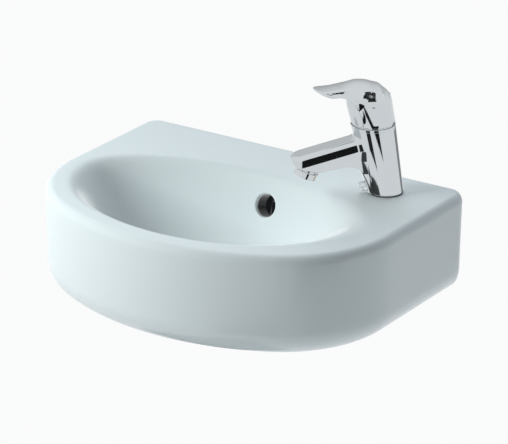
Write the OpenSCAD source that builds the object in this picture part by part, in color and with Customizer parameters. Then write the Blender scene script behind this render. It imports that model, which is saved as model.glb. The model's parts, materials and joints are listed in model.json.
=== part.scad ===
// Wall-hung handrinse washbasin with its single-lever mixer tap and plug waste.
// Millimetres. The origin is midway between the two wall fixing holes, on the wall plane.
// +X runs to the right along the wall, -Y out into the room and +Z up.

/* [Basin] */
// Width along the wall
basin_w = 450; // [440:1:470]
// Depth from the wall to the front
basin_d = 336; // [330:1:350]
// Height of the clay body
basin_h = 127; // [122:1:140]
// Length of the straight sides, from the wall
side_l = 167; // [160:1:175]
// How far the shallow front arc stands out beyond the two front corners' radius
front_bulge = 19; // [14:1:26]
// Radius of the two corners at the wall, seen from above
wall_corner_r = 20; // [10:1:26]
// Rounding between the top and the sides
rim_r = 9; // [5:0.5:11]
// Rounding between the top and the wall face
wall_edge_r = 4; // [2:0.5:8]
// Rounding between the sides and the underside
foot_r = 36; // [28:1:42]
// Inward lean of the sides in degrees
side_lean = 1.5; // [0:0.1:2.5]
// Thickness of the fired clay
clay_t = 12; // [10:0.5:13]
// Width of the flat lip round the open underside
lip_w = 4; // [2:0.5:8]

/* [Bowl] */
// Flat rim at the left before the bowl begins to roll over
left_rim = 15; // [12:1:24]
// Flat rim at the right
right_rim = 25; // [20:1:34]
// Flat rim at the front
front_rim = 20; // [16:1:28]
// Ledge between the wall and the bowl
back_ledge = 74; // [72:1:84]
// Distance of the waste from the wall
waste_y = 185; // [180:1:190]
// How far the waste lies in front of the bowl's middle
waste_ahead = 15; // [8:1:18]
// Depth of the bowl below the rim
bowl_depth = 100; // [90:1:104]
// Steepness of the left, back and front walls
wall_steep = 6.5; // [5.5:0.1:7]
// Steepness of the slope up to the tap
slope_steep = 3.2; // [2.6:0.1:5]
// Softness of the roll from the rim into the bowl
rim_ease = 4; // [3.5:0.1:4.5]

/* [Overflow] */
// Diameter of the overflow hole
overflow_d = 28; // [22:0.5:30]
// Depth of the overflow hole below the rim
overflow_drop = 35; // [32:1:40]
// Offset of the overflow hole to the right
overflow_x = 6; // [0:1:8]
// Upward tilt of the overflow hole in degrees
overflow_tilt = 18; // [10:1:24]
// Diameter of the overflow passage in the clay
passage_d = 12; // [10:0.5:13]

/* [Waste] */
// Diameter of the waste hole in the clay
waste_hole_d = 46; // [44:0.5:48]
// Depth of the recess that the waste flange sits in
recess_h = 4; // [3:0.5:6]
// Diameter of the waste flange
flange_d = 62; // [60:0.5:66]
// Thickness of the waste flange
flange_t = 2.5; // [2:0.25:3]
// Outside diameter of the waste thread
thread_d = 41.9; // [41:0.1:42.5]
// Outside diameter of the plain tail that the trap's sleeve goes over
tail_d = 40; // [38:0.5:40.5]
// Bore of the waste body
waste_bore_d = 34; // [32:0.5:36]
// Length of the waste body below its flange
waste_l = 64; // [60:1:68]
// Thickness of the seal under the flange
top_seal_t = 1.5; // [1:0.25:2]
// Thickness of the rubber washer below the clay
low_seal_t = 5; // [3:0.5:7]
// Thickness of the slip washer
slip_t = 2; // [1.5:0.5:3]
// Thickness of the backnut
backnut_t = 10; // [8:1:14]
// Size of the backnut across its flats
backnut_af = 56; // [54:1:60]
// Height of the plug below its rim
plug_h = 12; // [8:1:14]

/* [Tap place] */
// Tap centre, in from the right side of the basin
tap_in = 80; // [76:1:84]
// Tap centre, from the wall
tap_y = 54; // [50:1:58]
// Direction of the spout, from +X
spout_turn = -138; // [-150:1:-125]
// Diameter of the tap hole in the clay
tap_hole_d = 35; // [33:0.5:36]

/* [Tap body] */
// Diameter of the tap at its base
base_d = 41.5; // [40:0.5:46]
// Diameter of the tap at the seam below the lever
seam_d = 52.2; // [51.8:0.1:54]
// Height of the seam above the ledge
seam_h = 85; // [84:0.5:87]
// Forward lean of the body at the seam
seam_u = 16.5; // [14:0.5:19]
// Thickness of the rubber ring under the base
base_seal_t = 1.2; // [1:0.1:2]

/* [Spout] */
// Reach of the spout tip from the base centre
spout_reach = 113.8; // [111:0.5:118]
// Height of the spout tip
tip_h = 49.5; // [48:0.5:51]
// Downward slope of the spout top in degrees
spout_slope = 14.7; // [12:0.1:16]
// Half width of the spout at its tip
tip_half_w = 14.4; // [14.4:0.1:16]
// Half width of the flat on top of the spout
flat_half_w = 10.5; // [8:0.5:12]
// How far the aerator outlet lies behind the spout tip
outlet_in = 18.3; // [17:0.1:20]
// Height of the aerator outlet
outlet_h = 24.6; // [24:0.1:26]
// Forward tilt of the aerator in degrees
outlet_tilt = 21.5; // [18:0.5:24]
// Diameter of the aerator ring
aerator_d = 28.4; // [27:0.1:29]
// Height of the aerator ring that shows
aerator_h = 7; // [6:0.5:8]

/* [Lever] */
// Height of the lever's pivot above the seam
pivot_rise = 3; // [2.5:0.1:3.5]
// How far the lever lifts, in degrees
lift_angle = 22; // [15:1:22]
// Radius of the lever's head
head_r = 21.4; // [21:0.1:22]
// Height of the middle of the head
head_h = 110; // [109:0.5:111]
// How far the front of the head leans forward of its back
head_lean = 10; // [8:0.5:11]
// Forward place of the shoulder that the paddle springs from
shoulder_u = 31; // [29:0.5:33]
// Height of the top of the shoulder
shoulder_h = 136; // [134:0.5:137]
// Reach of the lever tip from the base centre
lever_reach = 87; // [82:1:92]
// Radius of the lever tip, seen from above
lever_tip_r = 12.5; // [11:0.5:13.5]
// Height of the top of the lever tip
lever_tip_h = 130.3; // [129:0.1:132]
// Depth of the paddle where its slanted underside begins
paddle_t = 10; // [8:0.5:11]
// Wall of the lever's skirt
skirt_t = 2.4; // [2:0.1:2.6]

/* [Cartridge] */
// Diameter of the cartridge
cartridge_d = 32.8; // [32:0.1:33]
// Width of the square stem
stem_w = 8; // [7:0.25:8.5]
// Diameter of the stem's pivot pin
pin_d = 4; // [3.5:0.25:4.5]
// Distance from the pivot down to the drive ball
drive_arm = 9; // [8.5:0.25:9.5]
// Diameter of the drive ball
ball_d = 6; // [5:0.25:6.5]
// Thickness of each ceramic disc
disc_t = 5; // [4:0.5:5]

/* [Tap fixing] */
// Diameter of the fixing stud
stud_d = 8; // [6:0.5:8.5]
// Length of the stud below the ledge
stud_l = 52; // [46:1:58]
// Forward place of the stud
stud_u = 9; // [8:0.5:9.5]
// Diameter of the threaded top of each supply tail
nipple_d = 12; // [11:0.5:12]
// Depth that the supply tails are screwed into the foot
nipple_l = 12; // [10:1:14]
// Diameter of each supply tail
supply_d = 8; // [7.5:0.5:8.5]
// Length of the supply tails below the ledge
supply_l = 62; // [56:1:90]
// Diameter of the plain end of each supply tail
supply_end_d = 10; // [10:0.5:11]
// Length of the plain ends
supply_end_l = 22; // [18:1:24]
// Diameter of the horseshoe gasket and washer
shoe_d = 50; // [46:1:52]
// Length of the fixing nut
nut_l = 18; // [12:1:22]
// Size of the fixing nut across its flats
nut_af = 13; // [12:0.5:14]

/* [Chain eyelet] */
// Outside diameter of the eyelet
eyelet_d = 9; // [8.5:0.1:10]
// Hole of the eyelet
eyelet_hole_d = 4.4; // [4:0.1:4.6]
// Height of the eyelet hole above the ledge
eyelet_h = 9; // [8:0.1:12]
// Thickness of the plate that carries the eyelet
eyelet_plate_t = 1; // [0.8:0.1:1.5]

/* [Wall fixing] */
// Depth of the wall holes below the rim
wall_hole_drop = 62; // [56:1:66]
// Spacing of the wall holes
wall_hole_gap = 200; // [160:5:240]
// Diameter of the wall holes
wall_hole_d = 14; // [12:0.5:16]

/* [Hidden] */
$fn = 64;

// Running and seating clearances
fit = 0.05;
seat = 0.1;
air = 0.3;

// Heights of the rim and the underside about the wall holes
rim_z = wall_hole_drop;
foot_z = rim_z - basin_h;
floor_z = rim_z - bowl_depth;

// Steps round the outline, counted on the right half from the wall to the front
n_back = 7;
n_wall_corner = 3;
n_side = 5;
n_corner = 9;
n_front = 8;

// The front is one shallow arc that runs into the two corner arcs
half_w = basin_w / 2;
corner_r = basin_d - side_l - front_bulge;
front_r = ((half_w - corner_r) ^ 2 + (basin_d - side_l) ^ 2 - corner_r ^ 2)
    / (2 * (basin_d - side_l - corner_r));
front_cy = front_r - basin_d;
join_a = atan2(-side_l - front_cy, half_w - corner_r);

function arc(c, r, a0, a1, n, first = 0) =
    [for (i = [first:n]) c + r * [cos(a0 + (a1 - a0) * i / n), sin(a0 + (a1 - a0) * i / n)]];

// Right half of the outline, moved in by inset at the sides and by back at the wall
function half_plan(inset, back) =
    let (x = half_w - inset, r = max(wall_corner_r - inset, 2))
    concat(
        [for (i = [0:n_back - 1]) [(x - r) * i / n_back, -back]],
        arc([x - r, -back - r], r, 90, 0, n_wall_corner),
        [for (i = [1:n_side - 1]) [x, -back - r + (back + r - side_l) * i / n_side]],
        arc([half_w - corner_r, -side_l], corner_r - inset, 0, join_a, n_corner),
        arc([0, front_cy], front_r - inset, join_a, -90, n_front, 1));

function plan(inset, back) =
    let (h = half_plan(inset, back), n = len(h))
    concat(h, [for (i = [n - 2:-1:1]) [-h[i][0], h[i][1]]]);

// The bowl's rim is four quarter ellipses about its middle
bowl_mid = [0, waste_ahead - waste_y];
bowl_left = half_w - left_rim;
bowl_right = half_w - right_rim;
bowl_front = basin_d - front_rim + bowl_mid[1];
bowl_back = -bowl_mid[1] - back_ledge;
ways = [for (p = plan(0, 0)) (p - bowl_mid) / norm(p - bowl_mid)];

function reach(w, grow) =
    1 / norm([w[0] / ((w[0] < 0 ? bowl_left : bowl_right) + grow),
              w[1] / ((w[1] < 0 ? bowl_front : bowl_back) + grow)]);

// Walls are steep all round, and ease off towards the tap on the right
slope_spread = 2.5;
function steep(w) = wall_steep + (slope_steep - wall_steep) * pow((1 + w[0]) / 2, slope_spread);
function drop(share, w) = bowl_depth * pow(1 - pow(share, steep(w)), rim_ease);

function bowl_ring(share, grow) =
    [for (w = ways) let (p = bowl_mid + share * reach(w, grow) * w)
        [p[0], p[1], rim_z - grow - drop(share, w)]];

function level(points, z) = [for (p = points) [p[0], p[1], z]];

function lean(z) = max(rim_z - rim_r - z, 0) * tan(side_lean);

// Shares of the reach at which the bowl and its underside have a ring, closer where they bend
bowl_shares = [0.15, 0.32, 0.44, 0.54, 0.62, 0.69, 0.75, 0.81, 0.86, 0.91, 0.96, 1];
under_shares = [1, 0.93, 0.87, 0.8, 0.72, 0.62, 0.5, 0.35, 0.2];

// Rings from the bowl's middle over the rim, down the outside and up the inside of the wall
rings = concat(
    [for (s = bowl_shares) bowl_ring(s, 0)],
    [for (a = [0:30:90]) let (z = rim_z - rim_r * (1 - cos(a)))
        level(plan(rim_r * (1 - sin(a)) + lean(z), wall_edge_r * (1 - sin(a))), z)],
    [for (a = [0:22.5:90]) let (z = foot_z + foot_r * (1 - sin(a)))
        level(plan(foot_r * (1 - cos(a)) + lean(z), 0), z)],
    [for (z = [foot_z, foot_z + clay_t]) level(plan(foot_r + lip_w + lean(z), clay_t), z)],
    [for (a = [60:-30:0]) let (r = foot_r - clay_t, z = foot_z + clay_t + r * (1 - sin(a)))
        level(plan(clay_t + r * (1 - cos(a)) + lean(z), clay_t), z)],
    [level(plan(clay_t + lean(rim_z - clay_t), clay_t), rim_z - clay_t)],
    [for (s = under_shares) bowl_ring(s, clay_t)]);

module shell_of_rings(rings, start, end) {
    n = len(rings[0]);
    m = len(rings);
    points = concat([for (r = rings) each r], [start, end]);
    sides = [for (k = [0:m - 2], i = [0:n - 1]) let (
            a = k * n + i, b = k * n + (i + 1) % n)
        each [[a, a + n, b + n], [a, b + n, b]]];
    caps = [for (i = [0:n - 1]) let (j = (i + 1) % n)
        each [[m * n, i, j], [m * n + 1, (m - 1) * n + j, (m - 1) * n + i]]];
    polyhedron(points, concat(sides, caps));
}

// A round bar from one point to another, carried on past each end by extra
module rod(p, q, d, extra = 0) {
    v = q - p;
    translate(p) rotate([0, acos(v[2] / norm(v)), atan2(v[1], v[0])])
        translate([0, 0, -extra]) cylinder(d = d, h = norm(v) + 2 * extra);
}

module ring(d_out, d_in, h) {
    difference() {
        cylinder(d = d_out, h = h);
        translate([0, 0, -1]) cylinder(d = d_in, h = h + 2);
    }
}

// Where the overflow passage leaves the bowl, turns down and meets the waste
back_share = pow(1 - pow(overflow_drop / bowl_depth, 1 / rim_ease), 1 / steep([0, 1]));
overflow_at = [overflow_x, bowl_mid[1] + back_share * bowl_back, rim_z - overflow_drop];
passage_wall = 5;
passage_z = foot_z + passage_d / 2 + passage_wall + 1;
overflow_deep = clay_t + passage_d;
passage_top = overflow_at + overflow_deep * [0, cos(overflow_tilt), -sin(overflow_tilt)];
passage_turn = [overflow_x, passage_top[1] - 4, passage_z];
passage_end = [0, -waste_y + waste_hole_d / 4, passage_z];
boss_d = passage_d + 2 * passage_wall;
waste_boss_t = 12;
waste_boss_d = waste_hole_d + 2 * waste_boss_t;
cover_in = 8;

module passage(d) {
    rod(passage_top, passage_turn, d, d / 2);
    rod(passage_turn, passage_end, d, d / 2);
}

// A round bar along the overflow hole, counted into the clay from the bowl
module overflow_bar(d, from, to) {
    translate(overflow_at) rotate([90 - overflow_tilt, 0, 0]) translate([0, 0, -to])
        cylinder(d = d, h = to - from);
}

module basin() {
    color("white") difference() {
        union() {
            shell_of_rings(rings, [bowl_mid[0], bowl_mid[1], floor_z],
                [bowl_mid[0], bowl_mid[1], floor_z - clay_t]);
            translate([0, -waste_y, foot_z]) cylinder(d = waste_boss_d, h = floor_z - foot_z - recess_h - 1);
            passage(boss_d);
            overflow_bar(overflow_d + 2 * passage_wall, cover_in, overflow_deep + passage_wall);
        }
        passage(passage_d);
        overflow_bar(overflow_d, -overflow_d, overflow_deep);
        translate([0, -waste_y, foot_z - 1]) cylinder(d = waste_hole_d, h = basin_h);
        translate([0, -waste_y, floor_z - recess_h]) cylinder(d = flange_d + 2, h = basin_h);
        translate([tap_x, -tap_y, rim_z - clay_t - 1]) cylinder(d = tap_hole_d, h = clay_t + 2);
        for (x = [-1, 1]) translate([x * wall_hole_gap / 2, 1, 0]) rotate([90, 0, 0])
            cylinder(d = wall_hole_d, h = clay_t + 2);
    }
}

// The waste stands in the recess on its seal, and the backnut pulls it down
flange_z = floor_z - recess_h + top_seal_t;
tail_z = flange_z - waste_l;
nut_z = foot_z - low_seal_t - slip_t - backnut_t;
slot_w = 12;
slot_h = passage_d + 2;
bar_t = 3;
seat_h = 6;
seat_grow = 3;

module at_waste(z) {
    translate([0, -waste_y, z]) children();
}

module waste_body() {
    color("silver") at_waste(0) difference() {
        union() {
            translate([0, 0, flange_z]) cylinder(d = flange_d, h = flange_t);
            translate([0, 0, tail_z]) cylinder(d = tail_d, h = waste_l + 1);
            translate([0, 0, nut_z - 2]) cylinder(d = thread_d, h = flange_z - nut_z + 3);
        }
        translate([0, 0, tail_z - 1]) cylinder(d = waste_bore_d, h = waste_l + flange_t + 2);
        translate([0, 0, flange_z + flange_t - seat_h])
            cylinder(d1 = waste_bore_d, d2 = waste_bore_d + seat_grow, h = seat_h + 0.01);
        for (a = [0, 90]) rotate(a) translate([-thread_d, -slot_w / 2, passage_z - slot_h / 2])
            cube([2 * thread_d, slot_w, slot_h]);
    }
    color("silver") at_waste(passage_z - slot_h / 2 - 2 * bar_t) intersection() {
        cylinder(d = waste_bore_d + 1, h = bar_t);
        for (a = [45, 135]) rotate(a) translate([-waste_bore_d, -bar_t / 2, 0])
            cube([2 * waste_bore_d, bar_t, bar_t]);
    }
}

module waste_top_seal() {
    color("dimgray") at_waste(floor_z - recess_h) ring(flange_d - 2, thread_d + 2 * seat, top_seal_t);
}

module waste_lower_seal() {
    color("dimgray") at_waste(foot_z - low_seal_t) ring(waste_boss_d - 4, thread_d + 2 * seat, low_seal_t);
}

module waste_slip_washer() {
    color("white") at_waste(foot_z - low_seal_t - slip_t)
        ring(waste_boss_d - 4, thread_d + 2 * seat, slip_t);
}

module waste_backnut() {
    color("goldenrod") at_waste(nut_z) difference() {
        cylinder(d = backnut_af / cos(30), h = backnut_t, $fn = 6);
        translate([0, 0, -1]) cylinder(d = thread_d + 2 * fit, h = backnut_t + 2);
    }
}

// The plug hangs in the tapered seat by its rim
plug_top_z = flange_z + flange_t + air;
plug_rim_d = waste_bore_d + seat_grow + 4;
plug_rim_t = 3;
plug_taper = 4;
plug_wall = 3;

module waste_plug() {
    color("dimgray") at_waste(plug_top_z) difference() {
        union() {
            cylinder(d = plug_rim_d, h = plug_rim_t);
            translate([0, 0, -plug_h])
                cylinder(d1 = waste_bore_d - plug_taper, d2 = waste_bore_d - 2 * air, h = plug_h + 0.5);
        }
        translate([0, 0, -plug_h - 1])
            cylinder(d = waste_bore_d - plug_taper - 2 * plug_wall, h = plug_h - eye_pin_l + 1);
        translate([0, 0, -plug_h]) cylinder(d = eye_pin_d, h = 2 * plug_h);
    }
}

eye_pin_d = 5;
eye_pin_l = 2;
eye_foot_t = 1.5;
eye_ring_d = 9;
eye_wire_d = 2;

module plug_eye() {
    color("silver") at_waste(plug_top_z) {
        translate([0, 0, -eye_pin_l]) cylinder(d = eye_pin_d, h = eye_pin_l + plug_rim_t + 0.5);
        translate([0, 0, plug_rim_t]) cylinder(d = eye_ring_d, h = eye_foot_t);
        translate([0, 0, plug_rim_t + eye_foot_t + eye_ring_d / 2 - 0.5]) rotate([90, 0, 0])
            rotate_extrude() translate([(eye_ring_d - eye_wire_d) / 2, 0]) circle(d = eye_wire_d, $fn = 24);
    }
}

// Tap frame: +X along the spout, +Z up from the ledge, origin under the base centre
tap_x = half_w - tap_in;
through = 2 * seam_h;

module at_tap() {
    translate([tap_x, -tap_y, rim_z]) rotate(spout_turn) children();
}

seam_r = seam_d / 2;
pivot_h = seam_h + pivot_rise;
pivot = [seam_u, 0, pivot_h];
rim_edge = 0.8;
cup_r = norm([seam_r - rim_edge, pivot_rise]);
ball_r = cup_r - 0.4;
skirt_dip = 0.8;
skirt_in_r = ball_r - skirt_t;
core_r = skirt_in_r - 0.4;
cover_t = 1.6;
groove_depth = ball_r * sin(lift_angle) + (pivot_rise + skirt_dip) * cos(lift_angle) + 0.6;
collar_r = core_r - cover_t - 0.2;
bore_d = cartridge_d + 2 * seat;
bore_floor = 48;
base_z = base_seal_t + eyelet_plate_t;
port_d = 6;
stud_in = 22;
feed_u = 8;
feed_d = 7;
feed_drop = 5;
waterway_d = 9;

// Side view of the spout with its arch, as [reach, height]
outlet_u = spout_reach - outlet_in;
ring_dir = [cos(outlet_tilt), sin(outlet_tilt)];
axis_dir = [sin(outlet_tilt), -cos(outlet_tilt)];
ring_top = [outlet_u, outlet_h] - aerator_h * axis_dir;
ring_front = ring_top + (aerator_d / 2 - 1) * ring_dir;
ring_back = ring_top - (aerator_d / 2) * ring_dir;
arch_u = 46;
arch_h = 33;
arch_foot = 8;
arch_steps = 8;
top_h0 = tip_h + spout_reach * tan(spout_slope);

side_view = concat(
    [[0, top_h0], [spout_reach, tip_h], [spout_reach - 0.5, tip_h - 3], ring_front, ring_back],
    [for (i = [0:arch_steps]) let (a = 90 - 90 * i / arch_steps)
        [arch_u - (arch_u - base_d / 2 + 1) * cos(a), arch_foot + (arch_h - arch_foot) * sin(a)]],
    [[0, arch_foot]]);

// End view of the spout, as [half width, depth below its top]
bevel_low = 5;
side_low = 14;
waist_half_w = 11;
waist_low = 27;
keel_half_w = 9;
keel_low = 44;
end_view = [[flat_half_w, 0], [tip_half_w, bevel_low], [tip_half_w, side_low],
    [waist_half_w, waist_low], [keel_half_w, keel_low], [keel_half_w, top_h0 + keel_low / 3]];

module spout() {
    root_half_w = tip_half_w + 3;
    spread = 3 * root_half_w;
    tip_u = spout_reach - tip_half_w;
    intersection() {
        rotate([90, 0, 0]) linear_extrude(spread, center = true) polygon(side_view);
        linear_extrude(top_h0 + 1) union() {
            polygon([[0, -root_half_w], [tip_u, -tip_half_w], [tip_u, tip_half_w], [0, root_half_w]]);
            translate([tip_u, 0]) circle(tip_half_w);
        }
        translate([0, 0, top_h0]) rotate([0, spout_slope, 0]) rotate([90, 0, 90])
            translate([0, 0, -base_d / 2]) linear_extrude(2 * spout_reach)
            polygon(concat([for (p = end_view) [p[0], -p[1]]],
                [for (i = [len(end_view) - 1:-1:0]) [-end_view[i][0], -end_view[i][1]]]));
    }
}

module about_pivot() {
    translate(pivot) children();
}

// Ball socket that the lever's skirt dips into when the lever is lifted
module groove() {
    about_pivot() difference() {
        intersection() {
            sphere(cup_r);
            translate([0, 0, -groove_depth]) cylinder(r = 2 * cup_r, h = groove_depth + 2);
        }
        sphere(core_r);
    }
}

tail_at = [-4, 8];
port_at = [9.5, 6.5];
nipple_top = base_z + nipple_l;

module tap_body() {
    color("silver") at_tap() difference() {
        union() {
            difference() {
                union() {
                    hull() {
                        translate([0, 0, base_z]) cylinder(d = base_d, h = 1);
                        translate([seam_u, 0, seam_h - 1]) cylinder(d = seam_d, h = 1);
                    }
                    spout();
                }
                groove();
            }
            intersection() {
                about_pivot() sphere(core_r);
                translate([seam_u, 0, pivot_h - groove_depth - 1])
                    cylinder(r = collar_r, h = groove_depth + 1);
            }
        }
        translate([seam_u, 0, bore_floor]) cylinder(d = bore_d, h = through);
        translate([stud_u, 0, -1]) cylinder(d = stud_d + 2 * fit, h = stud_in + 1);
        for (s = [-1, 1]) {
            translate([tail_at[0], s * tail_at[1], 0]) cylinder(d = nipple_d + 2 * fit, h = nipple_top);
            rod([tail_at[0], s * tail_at[1], nipple_top - 2],
                [port_at[0], s * port_at[1], bore_floor + 1], port_d);
        }
        rod([seam_u + feed_u, 0, bore_floor + 1], [seam_u + feed_u, 0, bore_floor - feed_drop], feed_d);
        rod([seam_u + feed_u, 0, bore_floor - feed_drop], waterway_end, waterway_d);
        rod(outlet_point(0), outlet_point(aerator_h + seat_depth), aerator_seat_d);
    }
}

// Points on the aerator axis, counted up from the outlet
function outlet_point(up) = [outlet_u - axis_dir[0] * up, 0, outlet_h - axis_dir[1] * up];
aerator_seat_d = 24;
seat_depth = 11;
aerator_seal_h = 3;
sleeve_t = 2;
lip_h = 1.5;
lip_t = 1;
jet_d = 4;
jet_ring_r = 6;
waterway_end = outlet_point(aerator_h + seat_depth - 1);

module at_outlet(up) {
    translate(outlet_point(up)) rotate([0, -outlet_tilt, 0]) children();
}

module tap_base_seal() {
    color("black") at_tap() ring(base_d - 1, tap_hole_d - 3, base_seal_t);
}

module aerator_housing() {
    color("silver") at_tap() at_outlet(0) difference() {
        union() {
            cylinder(d = aerator_d, h = aerator_h);
            cylinder(d = aerator_seat_d - 2 * fit, h = aerator_h + seat_depth - aerator_seal_h);
        }
        translate([0, 0, lip_h]) cylinder(d = aerator_seat_d - 2 * sleeve_t, h = through);
        translate([0, 0, -1]) cylinder(d = aerator_seat_d - 2 * sleeve_t - 2 * lip_t, h = through);
    }
}

insert_holes = 6;

module aerator_insert() {
    color("gainsboro") at_tap() at_outlet(lip_h + seat) difference() {
        cylinder(d = aerator_seat_d - 2 * (sleeve_t + seat), h = aerator_h + seat_depth - 2 * aerator_seal_h);
        translate([0, 0, -1]) cylinder(d = jet_d, h = through);
        for (i = [0:insert_holes - 1]) rotate(i * 360 / insert_holes) translate([jet_ring_r, 0, -1])
            cylinder(d = jet_d, h = through);
    }
}

module aerator_seal() {
    color("dimgray") at_tap() at_outlet(aerator_h + seat_depth - aerator_seal_h)
        ring(aerator_seat_d - 2 * seat, aerator_seat_d - waterway_d, aerator_seal_h - 1);
}

// Stack of the cartridge, from the seals up
seal_t = 1.5;
seal_wall = 1.3;
seal_squeeze = 0.4;
housing_z = bore_floor + seal_t;
neck_z = pivot_h + 1;
neck_d = 26;
ring_nut_t = 6;
guide_d = 23.2;
ball_z = pivot_h - drive_arm;
ball_air = 0.4;
carrier_top = ball_z + 2.2;
carrier_z = ball_z - ball_d / 2 - ball_air - 0.8;
chamber_top = carrier_top + ball_air;
shoulder_z = chamber_top + 1.4;
fixed_z = carrier_z - 2 * disc_t - seat;
disc_d = 21.2;
disc_pocket_d = 9;
disc_pocket_u = 2;
disc_port_d = 5;
chamber_d = disc_d + 2 * drive_arm * sin(lift_angle) + 1.6;

module at_axis(z) {
    translate([seam_u, 0, z]) children();
}

// Two inlet ports behind and one outlet port in front, in cartridge places
ports = [[port_at[0] - seam_u, -port_at[1]], [port_at[0] - seam_u, port_at[1]], [feed_u, 0]];

module cartridge_housing() {
    color("white") at_tap() difference() {
        union() {
            at_axis(housing_z) cylinder(d = cartridge_d, h = shoulder_z - housing_z);
            at_axis(shoulder_z - 1) cylinder(d = neck_d, h = neck_z - shoulder_z + 1);
        }
        at_axis(fixed_z) cylinder(d = chamber_d, h = chamber_top - fixed_z);
        at_axis(chamber_top - 1) cylinder(d = guide_d + 2 * fit, h = through);
        for (p = ports) at_axis(housing_z - 1) translate(p) cylinder(d = port_d, h = fixed_z - housing_z + 2);
    }
}

module cartridge_seals() {
    color("black") at_tap() for (p = ports) at_axis(bore_floor) translate(p)
        ring(port_d + 2 * seal_wall, port_d - seal_squeeze, seal_t);
}

module fixed_disc() {
    color("whitesmoke") at_tap() at_axis(fixed_z) difference() {
        cylinder(d = chamber_d - 2 * seat, h = disc_t);
        for (p = ports) translate([p[0], p[1], -1]) cylinder(d = disc_port_d, h = disc_t + 2);
    }
}

module moving_disc() {
    color("whitesmoke") at_tap() at_axis(fixed_z + disc_t + seat) difference() {
        cylinder(d = disc_d, h = disc_t);
        translate([disc_pocket_u, 0, -1]) cylinder(d = disc_pocket_d, h = disc_t / 2 + 1);
    }
}

module disc_carrier() {
    color("gainsboro") at_tap() at_axis(carrier_z) difference() {
        cylinder(d = disc_d, h = carrier_top - carrier_z);
        translate([0, 0, 0.8]) cylinder(d = ball_d + 2 * air, h = drive_arm);
    }
}

guide_z = chamber_top;
guide_top = pivot_h + 3.5;
guide_slot = 13.6;
pin_in = 1.2;

module stem_guide() {
    color("white") at_tap() difference() {
        at_axis(guide_z) cylinder(d = guide_d, h = guide_top - guide_z);
        at_axis(guide_z - 1) translate([-guide_slot / 2, -stem_w / 2 - air, 0])
            cube([guide_slot, stem_w + 2 * air, guide_top - guide_z + 2]);
        about_pivot() rotate([90, 0, 0]) cylinder(d = pin_d, h = 2 * guide_d, center = true);
    }
}

module stem_pin() {
    color("silver") at_tap() about_pivot() rotate([90, 0, 0])
        cylinder(d = pin_d, h = guide_d - 2 * pin_in, center = true);
}

stem_in_head = 15;
stem_top = head_h + stem_in_head;
stem_drop = 3.2;
shank_d = 4;

module cartridge_stem() {
    color("goldenrod") at_tap() difference() {
        union() {
            at_axis(pivot_h - stem_drop) translate([-stem_w / 2, -stem_w / 2, 0])
                cube([stem_w, stem_w, stem_top - pivot_h + stem_drop]);
            at_axis(ball_z) cylinder(d = shank_d, h = drive_arm - stem_drop + 0.2);
            at_axis(ball_z) sphere(d = ball_d);
        }
        about_pivot() rotate([90, 0, 0]) cylinder(d = pin_d + 2 * fit, h = 2 * stem_w, center = true);
    }
}

module cartridge_nut() {
    color("goldenrod") at_tap() at_axis(shoulder_z)
        ring(bore_d - 2 * fit, neck_d + 2 * seat, ring_nut_t);
}

cover_hole_r = 15.4;

module cartridge_cover() {
    color("silver") at_tap() difference() {
        intersection() {
            about_pivot() sphere(core_r);
            at_axis(seam_h) cylinder(r = core_r, h = core_r + pivot_rise);
        }
        about_pivot() sphere(core_r - cover_t);
        at_axis(pivot_h) cylinder(r = cover_hole_r, h = core_r + 1);
    }
}

// The head is a leaning round block on the ball skirt, and runs out into a flat paddle
head_back = [seam_u, 0, head_h];
head_front = [seam_u + head_lean, 0, head_h + 1];
head_wall = 3.5;
skirt_h = 7;
paddle_drop = 1.5;
tip_t = 1;
lever_boss_d = 17;
screw_rise = 8;
screw_h = head_h + screw_rise;
screw_d = 5;
screw_l = 9;
key_af = 2.5;
key_deep = 3;
cap_d = 7;

module head_core(r, fn) {
    translate(head_back) sphere(r, $fn = fn);
    translate(head_front) sphere(r, $fn = fn);
}

module lever_outside() {
    about_pivot() intersection() {
        sphere(ball_r);
        translate([0, 0, -pivot_rise - skirt_dip])
            cylinder(r = 2 * ball_r, h = skirt_h + pivot_rise + skirt_dip);
    }
    hull() {
        about_pivot() translate([0, 0, skirt_h - 1])
            cylinder(r = sqrt(ball_r ^ 2 - skirt_h ^ 2), h = 1, $fn = 48);
        head_core(head_r, 36);
        translate([shoulder_u, 0, shoulder_h - head_r]) sphere(head_r, $fn = 36);
    }
    hull() {
        translate([shoulder_u, 0, shoulder_h - head_r]) sphere(head_r, $fn = 36);
        translate([lever_reach - 2 * lever_tip_r, 0, lever_tip_h + paddle_drop - paddle_t])
            cylinder(r = lever_tip_r + 0.5, h = paddle_t, $fn = 36);
        translate([lever_reach - lever_tip_r, 0, lever_tip_h - tip_t])
            cylinder(r = lever_tip_r, h = tip_t, $fn = 36);
    }
}

module lever() {
    color("silver") at_tap() difference() {
        lever_outside();
        about_pivot() sphere(skirt_in_r);
        difference() {
            hull() head_core(head_r - head_wall, 48);
            at_axis(pivot_h) cylinder(d = lever_boss_d, h = through);
        }
        at_axis(pivot_h) translate([-stem_w / 2 - fit, -stem_w / 2 - fit, 0])
            cube([stem_w + 2 * fit, stem_w + 2 * fit, stem_top - pivot_h + seat]);
        translate([-head_r, 0, screw_h]) rotate([0, 90, 0]) {
            cylinder(d = screw_d + 2 * fit, h = head_r + seam_u);
            cylinder(d = cap_d + 2 * fit, h = head_r + cap_u);
        }
    }
}

// The grub screw bears on the stem from behind, and the cap closes its hole
cap_u = seam_u - sqrt((head_r - head_wall) ^ 2 - (screw_h - head_h) ^ 2) - 1;
cap_t = 2;

module lever_screw() {
    color("dimgray") at_tap() translate([seam_u - stem_w / 2 - screw_l, 0, screw_h]) rotate([0, 90, 0])
        difference() {
            cylinder(d = screw_d, h = screw_l);
            translate([0, 0, -1]) cylinder(d = key_af / cos(30), h = key_deep + 1, $fn = 6);
        }
}

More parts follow.
